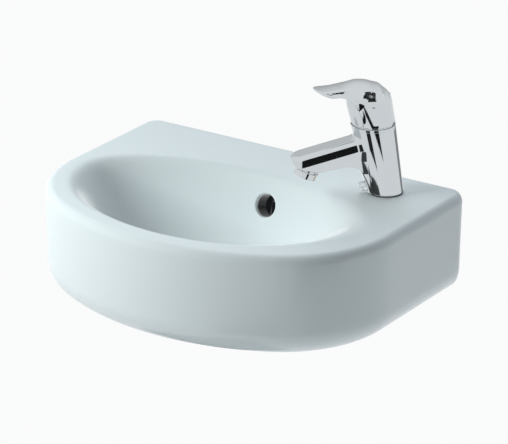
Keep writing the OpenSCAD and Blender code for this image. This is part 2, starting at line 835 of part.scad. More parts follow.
module lever_cap() {
    color("steelblue") at_tap() translate([cap_u - cap_t, 0, screw_h]) rotate([0, 90, 0])
        cylinder(d = cap_d, h = cap_t);
}

// Fixing under the ledge, as the tap frame sees it
deck_h = -clay_t;
gasket_t = 3;
shoe_t = 2.5;

shoe_gap = 2 * (tail_at[1] + supply_end_d / 2 + 0.6);

module horseshoe(t) {
    difference() {
        cylinder(d = shoe_d, h = t);
        translate([0, 0, -1]) linear_extrude(t + 2) union() {
            translate([tail_at[0] / 2, 0]) circle(d = shoe_gap + 0.8);
            translate([tail_at[0] / 2 - shoe_d, -shoe_gap / 2]) square([shoe_d, shoe_gap]);
        }
        translate([stud_u, 0, -1]) cylinder(d = stud_d + 2 * seat, h = t + 2);
    }
}

// Two stiff tails bring the hot and cold water up into the foot
module supply_tails() {
    color("goldenrod") at_tap() for (s = [-1, 1]) translate([tail_at[0], s * tail_at[1], 0]) difference() {
        union() {
            translate([0, 0, base_z]) cylinder(d = nipple_d, h = nipple_l - 0.5);
            translate([0, 0, -supply_l]) cylinder(d = supply_d, h = supply_l + base_z + 1);
            translate([0, 0, -supply_l]) cylinder(d = supply_end_d, h = supply_end_l);
        }
        translate([0, 0, -supply_l - 1]) cylinder(d = port_d, h = supply_l + base_z + nipple_l + 2);
    }
}

module fixing_stud() {
    color("silver") at_tap() translate([stud_u, 0, -stud_l]) cylinder(d = stud_d, h = stud_l + stud_in - 1);
}

module deck_gasket() {
    color("dimgray") at_tap() translate([0, 0, deck_h - gasket_t]) horseshoe(gasket_t);
}

module deck_washer() {
    color("lightgray") at_tap() translate([0, 0, deck_h - gasket_t - shoe_t]) horseshoe(shoe_t);
}

module fixing_nut() {
    color("goldenrod") at_tap() translate([stud_u, 0, deck_h - gasket_t - shoe_t - nut_l]) difference() {
        cylinder(d = nut_af / cos(30), h = nut_l, $fn = 6);
        translate([0, 0, -1]) cylinder(d = stud_d + 2 * fit, h = nut_l + 2);
    }
}

// Eye for a plug chain, on a plate that the tap's foot clamps down, clear of the leaning body
eyelet_u = base_d / 2 + (seam_u + (seam_d - base_d) / 2) * eyelet_h / seam_h + air + eyelet_d / 2;
eyelet_t = 4;
eyelet_neck_d = 3.6;

module chain_eyelet() {
    color("silver") at_tap() translate([0, 0, base_seal_t]) ring(base_d - 2, tap_hole_d - 3, eyelet_plate_t);
    color("silver") at_tap() translate([base_d / 2 - 3, -eyelet_t / 2, base_seal_t])
        cube([eyelet_u - base_d / 2 + 3, eyelet_t, eyelet_plate_t]);
    color("silver") at_tap() translate([eyelet_u, 0, 0]) difference() {
        union() {
            translate([0, 0, base_seal_t]) cylinder(d = eyelet_t, h = eyelet_plate_t);
            translate([0, 0, base_seal_t])
                cylinder(d = eyelet_neck_d, h = eyelet_h - eyelet_hole_d / 2 - base_seal_t - 0.5);
            translate([0, 0, eyelet_h]) rotate([90, 0, 0])
                cylinder(d = eyelet_d, h = eyelet_t, center = true);
        }
        translate([0, 0, eyelet_h]) rotate([90, 0, 0])
            cylinder(d = eyelet_hole_d, h = 3 * eyelet_t, center = true);
    }
}

basin();
waste_body();
waste_top_seal();
waste_lower_seal();
waste_slip_washer();
waste_backnut();
waste_plug();
plug_eye();
tap_body();
tap_base_seal();
aerator_housing();
aerator_insert();
aerator_seal();
cartridge_housing();
cartridge_seals();
fixed_disc();
moving_disc();
disc_carrier();
stem_guide();
stem_pin();
cartridge_stem();
cartridge_nut();
cartridge_cover();
lever();
lever_screw();
lever_cap();
fixing_stud();
deck_gasket();
deck_washer();
fixing_nut();
chain_eyelet();
supply_tails();
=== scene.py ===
# %% [markdown]
# # A wall-hung washbasin with its mixer tap, dressed for a photograph
# The CAD model gives every solid its place. This lesson lays the finished surfaces round it:
# a cast clay basin under a thick white glaze, and a mixer tap under polished chrome.
# Both are glossy, so what they reflect matters as much as their own colour.

# %% Load the fixed frame
import json
import bpy
import numpy as np
from mathutils import Matrix, Vector


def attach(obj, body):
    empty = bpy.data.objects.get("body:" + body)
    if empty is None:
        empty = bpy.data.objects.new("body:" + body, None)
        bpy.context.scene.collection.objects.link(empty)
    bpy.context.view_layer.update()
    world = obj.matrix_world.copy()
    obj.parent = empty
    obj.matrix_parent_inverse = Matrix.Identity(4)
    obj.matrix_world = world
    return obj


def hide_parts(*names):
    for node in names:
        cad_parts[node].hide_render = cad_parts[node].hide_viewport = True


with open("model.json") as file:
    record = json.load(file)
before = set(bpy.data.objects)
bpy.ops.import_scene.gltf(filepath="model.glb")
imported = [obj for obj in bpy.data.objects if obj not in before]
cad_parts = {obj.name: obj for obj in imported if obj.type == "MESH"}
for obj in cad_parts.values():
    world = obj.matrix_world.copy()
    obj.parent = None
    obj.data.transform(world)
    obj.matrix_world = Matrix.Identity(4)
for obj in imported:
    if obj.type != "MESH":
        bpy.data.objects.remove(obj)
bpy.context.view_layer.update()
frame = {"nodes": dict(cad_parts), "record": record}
nodes = frame["nodes"]

# %% [markdown]
# ## From arrays to meshes
# Every new surface is worked out as whole numpy arrays, in millimetres, and scaled to metres
# once, when it becomes a mesh. A closed surface has a volume with a sign, so that sign tells
# whether the faces point outwards, and the helper turns them where they don't.

# %% Mesh helpers
MM = 0.001


def signed_volume(points, quads):
    """Sum over triangles of a dot (b cross c) / 6, positive where faces point outwards."""
    tris = np.concatenate([quads[:, [0, 1, 2]], quads[:, [0, 2, 3]]])
    a, b, c = (points[tris[:, i]] for i in range(3))
    return float(np.einsum("ij,ij->i", a, np.cross(b, c)).sum() / 6)


def add_mesh(name, points, quads, normals=None, sharp=None, tris=None):
    """Makes a smooth-shaded object from points in mm, four-sided faces and, if given, triangles."""
    if signed_volume(points, quads) < 0:
        quads = quads[:, ::-1]
        tris = None if tris is None else tris[:, ::-1]
    mesh = bpy.data.meshes.new(name)
    faces = quads.tolist() + ([] if tris is None else tris.tolist())
    mesh.from_pydata((points * MM).tolist(), [], faces)
    mesh.shade_smooth()
    if sharp is not None:
        mesh.set_sharp_from_angle(angle=np.radians(sharp))
    if normals is not None:
        mesh.normals_split_custom_set_from_vertices(normals.tolist())
    piece = bpy.data.objects.new(name, mesh)
    bpy.context.scene.collection.objects.link(piece)
    return piece


def ring_quads(rings, around, closed=False):
    """Faces between neighbouring rings of a grid that goes once round.

    If closed, the last ring also joins the first.
    """
    k = np.arange(rings if closed else rings - 1)[:, None] * around
    i = np.arange(around)[None, :]
    j = (i + 1) % around
    up = (k + around) % (rings * around)
    return np.stack([k + i, k + j, up + j, up + i], -1).reshape(-1, 4)


def sealed(name, rings, **options):
    """An object from rings of points, its two ends closed with a fan to their middles."""
    count, around = rings.shape[:2]
    middles = rings[[0, -1]].mean(1)
    points = np.concatenate([rings.reshape(-1, 3), middles])
    i = np.arange(around)
    j = (i + 1) % around
    first = np.stack([np.full(around, count * around), j, i], 1)
    last = np.stack([np.full(around, count * around + 1), (count - 1) * around + i,
                     (count - 1) * around + j], 1)
    ends = np.concatenate([first, last])
    return add_mesh(name, points, ring_quads(count, around), tris=ends, **options)


def cut(piece, tool, operation="DIFFERENCE"):
    """Applies one Boolean to the piece's mesh and throws the tool away."""
    step = piece.modifiers.new("cut", "BOOLEAN")
    step.operation, step.solver, step.object = operation, "EXACT", tool
    with bpy.context.temp_override(object=piece, active_object=piece, selected_objects=[piece]):
        bpy.ops.object.modifier_apply(modifier=step.name)
    bpy.data.objects.remove(tool)


# %% [markdown]
# ## The basin's outline
# Seen from above the basin is straight at the wall and at both sides, and turns into the
# front through two corner arcs and one shallow arc. It could be traced with a spline, but
# arcs keep the same numbers as the CAD source, so both shapes stay together.

# %% Outline
WIDTH, DEPTH, HEIGHT = 450.0, 336.0, 127.0
SIDE, CORNER_R, WALL_R = 167.0, 150.0, 20.0
RIM_Z = 62.0
FOOT_Z, FLOOR_Z = RIM_Z - HEIGHT, RIM_Z - 100.0
RIM_R, WALL_EDGE_R, FOOT_R = 11.0, 4.0, 36.0
CLAY, LIP, LEAN = 12.0, 4.0, 1.5
HALF_W = WIDTH / 2
FRONT_R = (((HALF_W - CORNER_R) ** 2 + (DEPTH - SIDE) ** 2 - CORNER_R ** 2)
           / (2 * (DEPTH - SIDE - CORNER_R)))
FRONT_CY = FRONT_R - DEPTH
JOIN = np.arctan2(-SIDE - FRONT_CY, HALF_W - CORNER_R)


def arc(cx, cy, r, start, end, n):
    """n points of a circle from start to end, without the last."""
    a = start + (end - start) * np.arange(n) / n
    return np.stack([cx + r * np.cos(a), cy + r * np.sin(a)], 1)


def plan(inset, back):
    """The closed outline, moved in by inset at the sides and front and by back at the wall."""
    x, r = HALF_W - inset, max(WALL_R - inset, 2.0)
    wall = np.stack([(x - r) * np.arange(24) / 24, np.full(24, -back)], 1)
    side = np.stack([np.full(30, x), -back - r + (back + r - SIDE) * np.arange(30) / 30], 1)
    half = np.concatenate([
        wall, arc(x - r, -back - r, r, np.pi / 2, 0, 8), side,
        arc(HALF_W - CORNER_R, -SIDE, CORNER_R - inset, 0, JOIN, 56),
        arc(0, FRONT_CY, FRONT_R - inset, JOIN, -np.pi / 2, 56), [[0, FRONT_CY - FRONT_R + inset]]])
    return np.concatenate([half, half[-2:0:-1] * [-1, 1]])


OUTLINE = plan(0, 0)
AROUND = len(OUTLINE)
print("points round the outline:", AROUND)

# %% [markdown]
# ## The bowl
# The bowl's rim is four quarter ellipses about a middle a little behind the waste. From the
# rim the wall first rolls over softly, then drops steeply, and on the right it eases off into
# a long slope up to the tap. One formula in the share of the reach gives all of that.

# %% Bowl formula
WASTE = np.array([0.0, -185.0])
MIDDLE_OF_BOWL = np.array([0.0, -170.0])
REACH_LEFT, REACH_RIGHT, REACH_FRONT, REACH_BACK = 210.0, 200.0, 146.0, 96.0
WALL_STEEP, SLOPE_STEEP, EASE = 6.5, 3.2, 4.0
BOWL_DEPTH = RIM_Z - FLOOR_Z


def reach(w, grow=0.0):
    """Distance from the bowl's middle to its rim along directions w, on four quarter ellipses."""
    a = np.where(w[..., 0] < 0, REACH_LEFT, REACH_RIGHT) + grow
    b = np.where(w[..., 1] < 0, REACH_FRONT, REACH_BACK) + grow
    return 1 / np.hypot(w[..., 0] / a, w[..., 1] / b)


def drop(share, w):
    """Depth below the rim at a share of the reach: depth * (1 - share^steep)^ease."""
    steep = WALL_STEEP + (SLOPE_STEEP - WALL_STEEP) * ((1 + w[..., 0]) / 2) ** 2.5
    return BOWL_DEPTH * (1 - np.clip(share, 0, 1) ** steep) ** EASE


def bowl_height(x, y, grow=0.0):
    """Height of the bowl's surface over any place inside the rim."""
    d = np.stack([x, y], -1) - MIDDLE_OF_BOWL
    far = np.maximum(np.linalg.norm(d, axis=-1), 1e-6)
    w = d / far[..., None]
    return RIM_Z - grow - drop(far / reach(w, grow), w)


def directions(start):
    """Unit directions from a place to every point of the outline."""
    return (OUTLINE - start) / np.linalg.norm(OUTLINE - start, axis=1)[:, None]


WAYS, RIM_WAYS = directions(WASTE), directions(MIDDLE_OF_BOWL)


def bowl_rings(t, start_r, grow=0.0):
    """Rings from a circle of start_r about the waste (t 0) out to the rim curve (t 1)."""
    start = WASTE + start_r * WAYS
    end = MIDDLE_OF_BOWL + reach(RIM_WAYS, grow)[:, None] * RIM_WAYS
    flat = start + (end - start) * t[:, None, None]
    return np.concatenate([flat, bowl_height(flat[..., 0], flat[..., 1], grow)[..., None]], -1)


print("bowl depth in mm:", BOWL_DEPTH)

# %% [markdown]
# ## One closed skin for the clay
# The basin has a hole in the middle, so its skin is a ring like a doughnut's: up the waste
# hole, out over the bowl and the rim, down the side, in under the foot and back up inside.
# A grid that closes both ways holds all of it, with no pole and no seam.

# %% Basin skin
def circle_ring(r, z):
    """A round ring about the waste."""
    return np.concatenate([WASTE + r * WAYS, np.full((AROUND, 1), z)], 1)


def level(points, z):
    """A plan's points, all at height z."""
    return np.concatenate([points, np.full((AROUND, 1), float(z))], 1)


def lean(z):
    """How far the sides have leaned in at height z, by LEAN degrees below the rim's rounding."""
    return max(RIM_Z - RIM_R - z, 0) * np.tan(np.radians(LEAN))


HOLE_R, RECESS_R, RECESS_Z, BOSS_R = 23.0, 32.0, FLOOR_Z - 4.0, 35.0
quarter = np.radians(np.linspace(0, 90, 18))
eighth = np.radians(np.linspace(0, 90, 6))
ease_in = 1 - (1 - np.linspace(0, 1, 90)) ** 1.5

waste_rings = [circle_ring(HOLE_R, z) for z in np.linspace(FOOT_Z + 1.5, RECESS_Z - 1, 6)]
waste_rings += [circle_ring(HOLE_R + 1 - np.cos(a), RECESS_Z - 1 + np.sin(a)) for a in eighth[1:]]
waste_rings += [circle_ring(RECESS_R - 1.5 + 1.5 * np.sin(a), RECESS_Z + 1.5 - 1.5 * np.cos(a))
                for a in eighth]
waste_rings += [circle_ring(RECESS_R + 1.2 - 1.2 * np.cos(a), FLOOR_Z - 1.2 + 1.2 * np.sin(a))
                for a in eighth]
bowl = bowl_rings(ease_in, RECESS_R + 2)
rim_start = level(plan(RIM_R, WALL_EDGE_R), RIM_Z)
ledge = [bowl[-1] + (rim_start - bowl[-1]) * f for f in (0.12, 0.3, 0.5, 0.7, 0.88)]
rim = [level(plan(RIM_R * (1 - np.sin(a)), WALL_EDGE_R * (1 - np.sin(a))),
             RIM_Z - RIM_R * (1 - np.cos(a))) for a in quarter]
side = [level(plan(lean(z), 0), z) for z in np.linspace(RIM_Z - RIM_R, FOOT_Z + FOOT_R, 8)[1:-1]]
foot = []
for a in np.radians(np.linspace(0, 90, 20)):
    z = FOOT_Z + FOOT_R * (1 - np.sin(a))
    foot.append(level(plan(FOOT_R * (1 - np.cos(a)) + lean(z), 0), z))
inside = [level(plan(FOOT_R + LIP - 1 + np.sin(a) + lean(FOOT_Z), CLAY - 1 + np.sin(a)),
                FOOT_Z + 1 - np.cos(a)) for a in eighth]
inside += [level(plan(FOOT_R + LIP + lean(FOOT_Z), CLAY), z)
           for z in (FOOT_Z + 5, FOOT_Z + CLAY - 1)]
for a in np.radians(np.linspace(80, 0, 8)):
    z = FOOT_Z + CLAY + (FOOT_R - CLAY) * (1 - np.sin(a))
    inside.append(level(plan(CLAY + (FOOT_R - CLAY) * (1 - np.cos(a)) + lean(z), CLAY), z))
inside += [level(plan(CLAY + lean(z), CLAY), z) for z in np.linspace(0, RIM_Z - CLAY, 4)]
under = bowl_rings(ease_in[::-3], BOSS_R + 3, CLAY)[1:]
boss = [circle_ring(BOSS_R + 3 - 3 * np.sin(a), under[-1, 0, 2] - 3 + 3 * np.cos(a))
        for a in eighth[1:]]
boss += [circle_ring(BOSS_R, FOOT_Z + 2)]
boss += [circle_ring(BOSS_R - 1.5 + 1.5 * np.cos(a), FOOT_Z + 1.5 - 1.5 * np.sin(a))
         for a in eighth]
boss += [circle_ring(HOLE_R + 1.5 - 1.5 * np.sin(a), FOOT_Z + 1.5 - 1.5 * np.cos(a))
         for a in eighth[:-1]]
skin = np.stack([*waste_rings, *bowl, *ledge, *rim, *side, *foot, *inside, *under, *boss])
print("basin grid:", skin.shape)
basin = add_mesh("basin_glazed", skin.reshape(-1, 3), ring_quads(len(skin), AROUND, closed=True))

# %% [markdown]
# ## Holes in the clay
# Drills in wet clay leave round holes, and the overflow's edge is softened by hand before
# glazing. A Boolean cuts them. The overflow's tool flares out where it meets the bowl, and
# follows the bowl's own surface there, so that its rounded lip runs into the wall.

# %% Tools for the cuts
def frame_along(axis):
    """Two unit vectors square to the axis and to each other."""
    side = np.cross(axis, [0, 0, 1.0] if abs(axis[2]) < 0.9 else [1.0, 0, 0])
    side /= np.linalg.norm(side)
    return side, np.cross(axis, side)


def turned(name, base, axis, profile, around=96):
    """A profile of (distance along the axis, radius) pairs turned about the axis, ends closed."""
    axis = np.asarray(axis, float) / np.linalg.norm(axis)
    e, f = frame_along(axis)
    a = 2 * np.pi * np.arange(around) / around
    wheel = np.cos(a)[:, None] * e + np.sin(a)[:, None] * f
    profile = np.asarray(profile, float)
    rings = np.asarray(base) + profile[:, :1, None] * axis + profile[:, 1:, None] * wheel[None]
    return sealed(name, rings)


OVERFLOW_R, OVERFLOW_LIP, TILT = 14.0, 2.0, np.radians(18)
OVERFLOW_AXIS = np.array([0, np.cos(TILT), -np.sin(TILT)])
OVERFLOW_X, OVERFLOW_DROP, OVERFLOW_DEEP = 6.0, 35.0, 24.0
steep_back = WALL_STEEP + (SLOPE_STEEP - WALL_STEEP) * 0.5 ** 2.5
share_back = (1 - (OVERFLOW_DROP / BOWL_DEPTH) ** (1 / EASE)) ** (1 / steep_back)
overflow_y = MIDDLE_OF_BOWL[1] + share_back * REACH_BACK
OVERFLOW = np.array([OVERFLOW_X, overflow_y, RIM_Z - OVERFLOW_DROP])
print("overflow centre:", OVERFLOW)


def bowl_depth_at(rho, wheel):
    """Distance along the overflow's axis at which a line beside it meets the bowl, by bisection."""
    near, far = np.full(len(wheel), -40.0), np.full(len(wheel), 40.0)
    for _ in range(40):
        mid = (near + far) / 2
        p = OVERFLOW + rho * wheel + mid[:, None] * OVERFLOW_AXIS
        above = p[:, 2] > bowl_height(p[:, 0], p[:, 1])
        near, far = np.where(above, mid, near), np.where(above, far, mid)
    return near


def overflow_tool(around=120):
    """Straight in the air, flared by a quarter round of the lip's size, then straight again."""
    e, f = frame_along(OVERFLOW_AXIS)
    a = 2 * np.pi * np.arange(around) / around
    wheel = np.cos(a)[:, None] * e + np.sin(a)[:, None] * f
    outer = OVERFLOW_R + OVERFLOW_LIP
    depth = bowl_depth_at(outer, wheel)
    rings = [(outer, depth - 10), (outer, depth + 0.02)]
    for b in np.radians(np.linspace(9, 90, 10)):
        rho = outer - OVERFLOW_LIP * np.sin(b)
        rings.append((rho, bowl_depth_at(rho, wheel) + 0.02 + OVERFLOW_LIP * (1 - np.cos(b))))
    rings += [(OVERFLOW_R, np.full(around, d)) for d in (10.0, OVERFLOW_DEEP)]
    points = np.stack([OVERFLOW + r * wheel + d[:, None] * OVERFLOW_AXIS for r, d in rings])
    return sealed("tool", points)


PASSAGE_Z, PASSAGE_R, PASSAGE_SKIN_R = FOOT_Z + 12.0, 6, 11
passage_top = OVERFLOW + OVERFLOW_DEEP * OVERFLOW_AXIS
passage = [passage_top, np.array([OVERFLOW[0], passage_top[1] - 4, PASSAGE_Z]),
           np.array([0, WASTE[1] + HOLE_R / 2, PASSAGE_Z])]


def passage_bars(r):
    """The two straight runs of the overflow passage, each carried on past its ends."""
    for p, q in zip(passage[:-1], passage[1:]):
        long = np.linalg.norm(q - p)
        profile = [(-r, r * 0.5), (-r * 0.5, r), (long + r * 0.5, r), (long + r, r * 0.5)]
        yield turned("tool", p, q - p, profile, 48)


TAP_PLACE, TAP_HOLE_R = (145, -54), 17.5
BOLT_X, BOLT_HOLE = 100, [(0, 7), (19.2, 7), (20, 7.8), (30, 17)]
SWELLING = [(0, 18), (1, 19), (17, 19), (21, 15)]
CREASE = np.radians(32)

for bar in passage_bars(PASSAGE_SKIN_R):
    cut(basin, bar, "UNION")
cut(basin, turned("tool", OVERFLOW + 8 * OVERFLOW_AXIS, OVERFLOW_AXIS, SWELLING), "UNION")
for bar in passage_bars(PASSAGE_R):
    cut(basin, bar)
cut(basin, overflow_tool())
cut(basin, turned("tool", (*TAP_PLACE, 40), (0, 0, 1), [(at, TAP_HOLE_R) for at in (0, 9, 11, 40)]))
for x in (-BOLT_X, BOLT_X):
    cut(basin, turned("tool", (x, -20, 0), (0, 1, 0), BOLT_HOLE, 48))
basin.data.shade_smooth()
basin.data.set_sharp_from_angle(angle=CREASE)
print("basin triangles:", sum(len(f.vertices) - 2 for f in basin.data.polygons))

# %% [markdown]
# ## The tap's own frame
# The tap stands turned on the ledge, so its shape is worked out along its spout (u), across
# it (v) and up from the ledge (h), and turned into place at the end.

# %% Tap frame
TAP = np.array([*TAP_PLACE, RIM_Z])
TURN = np.radians(-138)
ALONG = np.array([np.cos(TURN), np.sin(TURN), 0])
ACROSS = np.array([-np.sin(TURN), np.cos(TURN), 0])
LOCAL = np.stack([ALONG, ACROSS, [0, 0, 1]])
PIVOT = np.array([16.5, 0, 88.0])
SEAM_H, SEAM_R, BASE_R, BODY_TOP_H = 85.0, 26.1, 20.75, 82.0
CUP_R, BALL_R, SKIRT_R, CORE_R = 25.477, 25.077, 22.677, 22.277


def to_world(points):
    """Turns points given as (u, v, h) into place on the ledge."""
    return points @ LOCAL + TAP


print("tap's foot in mm:", TAP, "and its spout's direction:", ALONG)


# %% [markdown]
# ## Cast and polished shapes from distance fields
# The tap and its lever are soft, melted-together castings: cones, slabs and balls with round
# fillets. Subdivision surfaces could follow them by hand. Here each part is a field that
# gives the distance to its skin, two fields join with a fillet of any radius, and the skin
# is drawn where the field is zero. The gradient of the field is the exact normal, which
# keeps the chrome's reflections clean.

# %% Field tools
def fillet_union(a, b, r):
    """Union with a round fillet of radius r in the corner between the two."""
    corner = np.hypot(np.maximum(r - a, 0), np.maximum(r - b, 0))
    return np.maximum(r, np.minimum(a, b)) - corner


def round_meet(a, b, r):
    """Intersection whose outer edge is rounded to radius r."""
    return -fillet_union(-a, -b, r)


def polygon_distance(x, y, corners):
    """Signed distance to a closed polygon, negative inside, as whole arrays over its edges."""
    corners = np.asarray(corners, float)
    nearest, inside = np.full(x.shape, 1e9), np.zeros(x.shape, bool)
    for p, q in zip(corners, np.roll(corners, -1, 0)):
        e = q - p
        t = np.clip(((x - p[0]) * e[0] + (y - p[1]) * e[1]) / (e @ e), 0, 1)
        nearest = np.minimum(nearest, np.hypot(x - p[0] - t * e[0], y - p[1] - t * e[1]))
        crosses = (p[1] > y) != (q[1] > y)
        step = e[1] if abs(e[1]) > 1e-12 else 1e-12
        inside ^= crosses & (x < p[0] + e[0] * (y - p[1]) / step)
    return np.where(inside, -nearest, nearest)


def smooth_line(corners, rounds=3):
    """Cuts the corners of an open line again and again, which draws it into a curve."""
    line = np.asarray(corners, float)
    for _ in range(rounds):
        a, b = line[:-1], line[1:]
        cutline = np.stack([0.75 * a + 0.25 * b, 0.25 * a + 0.75 * b], 1).reshape(-1, 2)
        line = np.concatenate([line[:1], cutline, line[-1:]])
    return line


def round_cone(p, a, b, ra, rb):
    """Distance to the hull of two balls of radius ra at a and rb at b."""
    ba = b - a
    long = np.linalg.norm(ba)
    y = (p - a) @ ba / long
    x = np.sqrt(np.maximum(((p - a) ** 2).sum(-1) - y ** 2, 0))
    s = (ra - rb) / long
    c = np.sqrt(1 - s * s)
    k = c * y - s * x
    body = x * c + y * s - ra
    beyond = np.where(k > c * long, np.hypot(x, y - long) - rb, body)
    return np.where(k < 0, np.hypot(x, y) - ra, beyond)


def skin_of(field, low, high, step):
    """Surface net: one point in each grid cell that the zero surface crosses, then pulled onto it.

    Each grid edge whose ends differ in sign gives one face, between the four cells round it.
    Newton steps along the gradient bring the points onto the surface, and the gradient there,
    taken by central differences, is the normal.
    """
    low, high = np.asarray(low, float), np.asarray(high, float)
    size = np.ceil((high - low) / step).astype(int) + 1
    axes = [low[i] + step * np.arange(size[i]) for i in range(3)]
    value = np.empty(size, np.float32)
    slab = 24
    for i in range(0, size[0], slab):
        grid = np.stack(np.meshgrid(axes[0][i:i + slab], axes[1], axes[2], indexing="ij"), -1)
        value[i:i + slab] = field(grid)
    solid = value < 0
    total = np.zeros(size - 1, np.float32)
    place = np.zeros((*(size - 1), 3), np.float32)
    index = np.indices(size - 1).astype(np.float32)
    for axis in range(3):
        lo = [slice(None)] * 3
        hi = [slice(None)] * 3
        lo[axis], hi[axis] = slice(0, -1), slice(1, None)
        va, vb = value[tuple(lo)], value[tuple(hi)]
        crossing = solid[tuple(lo)] != solid[tuple(hi)]
        t = np.where(crossing, va / np.where(crossing, va - vb, 1), 0)
        others = [i for i in range(3) if i != axis]
        for da in (0, 1):
            for db in (0, 1):
                pick = [slice(None)] * 3
                pick[others[0]] = slice(da, size[others[0]] - 1 + da)
                pick[others[1]] = slice(db, size[others[1]] - 1 + db)
                c, tt = crossing[tuple(pick)], t[tuple(pick)]
                total += c
                place[..., axis] += c * tt
                place[..., others[0]] += c * da
                place[..., others[1]] += c * db
    active = total > 0
    number = np.full(active.shape, -1, np.int64)
    number[active] = np.arange(active.sum())
    middle = place[active] / total[active][:, None]
    points = low + step * (index.transpose(1, 2, 3, 0)[active] + middle)
    quads = []
    for axis in range(3):
        lo = [slice(None)] * 3
        hi = [slice(None)] * 3
        lo[axis], hi[axis] = slice(0, -1), slice(1, None)
        a, b = solid[tuple(lo)], solid[tuple(hi)]
        others = [(axis + 1) % 3, (axis + 2) % 3]
        for first in (True, False):
            hit = np.argwhere((a == first) & (b != first))
            keep = (hit[:, others[0]] > 0) & (hit[:, others[1]] > 0)
            keep &= hit[:, others[0]] < size[others[0]] - 1
            keep &= hit[:, others[1]] < size[others[1]] - 1
            hit = hit[keep]
            around = []
            for d0, d1 in ((-1, -1), (0, -1), (0, 0), (-1, 0)):
                cell = hit.copy()
                cell[:, others[0]] += d0
                cell[:, others[1]] += d1
                around.append(number[tuple(cell.T)])
            around = np.stack(around, 1)
            quads.append(around if first else around[:, ::-1])
    for _ in range(5):
        points = points - np.clip(field(points), -step, step)[:, None] * gradient(field, points)
    return points, np.concatenate(quads), gradient(field, points)


def gradient(field, points, reach=0.04):
    """Unit direction in which the field grows, by central differences."""
    g = np.stack([field(points + d) - field(points - d) for d in np.eye(3) * reach], -1)
    return g / np.maximum(np.linalg.norm(g, axis=-1, keepdims=True), 1e-9)


def lathe_mm(profile, centre, around=192):
    """Rings of a (radius, height) profile about an upright axis through centre."""
    a = 2 * np.pi * np.arange(around) / around
    r, z = np.asarray(profile, float).T
    return np.stack([centre[0] + r[:, None] * np.cos(a), centre[1] + r[:, None] * np.sin(a),
                     np.broadcast_to(z[:, None], (len(r), around))], -1)


# %% [markdown]
# ## The tap's body
# A cone that leans forward carries the cartridge. The spout is a bar with a flat top,
# chamfered shoulders and sides that draw in below, and a big arch joins it to the foot.

# %% Tap body
SLOPE = np.radians(14.7)
TIP_U, TIP_W = 113.8, 14.4
TOP_H0 = 49.5 + TIP_U * np.tan(SLOPE)
SLANT, SPOUT_FILLET, SPOUT_ROUND, BODY_FOOT_H = 0.985, 6.0, 1.2, 2.2
SIDE_VIEW = np.concatenate([
    [[0, TOP_H0], [TIP_U, 49.4], [113.6, 48.2], [106.5, 37.0], [81.4, 30.6]],
    smooth_line([[78, 31.0], [60.3, 33.9], [45.4, 35.9], [32.9, 32.7], [24.5, 18.7], [19.5, 3.5]]),
    [[0, 3.5]]])
END_VIEW = [[-60, 0], [10.5, 0], [12.8, 1.9], [TIP_W, 5], [TIP_W, 14], [11, 27], [9, 44],
            [9, 110], [-60, 110]]


def body_cone(p):
    """A cone that leans forward, from the foot to the seam.

    It is measured level, and the slant turns that into nearly the true distance.
    """
    h = p[..., 2]
    share = h / SEAM_H
    r = BASE_R + (SEAM_R - BASE_R) * share
    return (np.hypot(p[..., 0] - PIVOT[0] * share, p[..., 1]) - r) * SLANT


def spout_bar(p):
    """Side view meets end view, and the end view also goes round the tip."""
    u, v, h = p[..., 0], p[..., 1], p[..., 2]
    side = polygon_distance(u, h, SIDE_VIEW)
    wide = np.where(u > TIP_U - TIP_W, np.hypot(np.maximum(u - TIP_U + TIP_W, 0), v), np.abs(v))
    below = (TOP_H0 - h) * np.cos(SLOPE) - u * np.sin(SLOPE)
    end = polygon_distance(wide, below, END_VIEW)
    return round_meet(side, end, SPOUT_ROUND)


def body_field(p):
    """Cone and spout melted together, cut flat at the top and just above the ledge."""
    joined = fillet_union(body_cone(p), spout_bar(p), SPOUT_FILLET)
    return np.maximum(joined, np.maximum(p[..., 2] - BODY_TOP_H, BODY_FOOT_H - p[..., 2]))


NET = 0.6
points, quads, normals = skin_of(body_field, (-24, -30, 0.6), (117, 30, 84), NET)
body = add_mesh("tap_body_chrome", to_world(points), quads, normals @ LOCAL)
print("tap body faces:", len(quads))

# %% [markdown]
# ## The collar
# The top few millimetres of the casting were turned on a lathe, to a crisp edge round a cup in
# which the lever's ball moves. They could be one more field, but its net would blur the edge,
# so they are turned here too, ring by ring.

# %% Collar at the seam
EDGE_R, CUP_DEEP = 0.25, 12
HEAD_AXIS = (PIVOT[0], 0)


def cone_at(h):
    """Radius of the leaning cone at height h."""
    return BASE_R + (SEAM_R - BASE_R) * h / SEAM_H


def cup_at(z):
    """Radius at height z of a ball-shaped cup about the pivot."""
    return np.sqrt(CUP_R ** 2 - (PIVOT[2] - z) ** 2)


def ring(r, z, centre=HEAD_AXIS):
    """One round ring at height z, about the lever's axis unless told otherwise."""
    return lathe_mm([(r, z)], centre)[0]


collar = [ring(cone_at(h), h, (PIVOT[0] * h / SEAM_H, 0))
          for h in np.linspace(BODY_TOP_H, SEAM_H - EDGE_R, 8)]
collar += [ring(cone_at(SEAM_H) - EDGE_R * (1 - np.cos(a)), SEAM_H - EDGE_R * (1 - np.sin(a)))
           for a in eighth[1:]]
collar += [ring(cup_at(SEAM_H - h), SEAM_H - h) for h in np.linspace(0, CUP_DEEP, 14)]
collar += [ring(CORE_R * 0.9, SEAM_H - CUP_DEEP)]
collar_piece = sealed("tap_collar", to_world(np.stack(collar)), sharp=40)
print("collar rings:", len(collar))

# %% [markdown]
# ## The lever
# Its head is a leaning ball-like block on a round skirt. The top runs forward into a flat
# paddle, and below the paddle a deep arch is scooped out, with a flared lip along its edge.

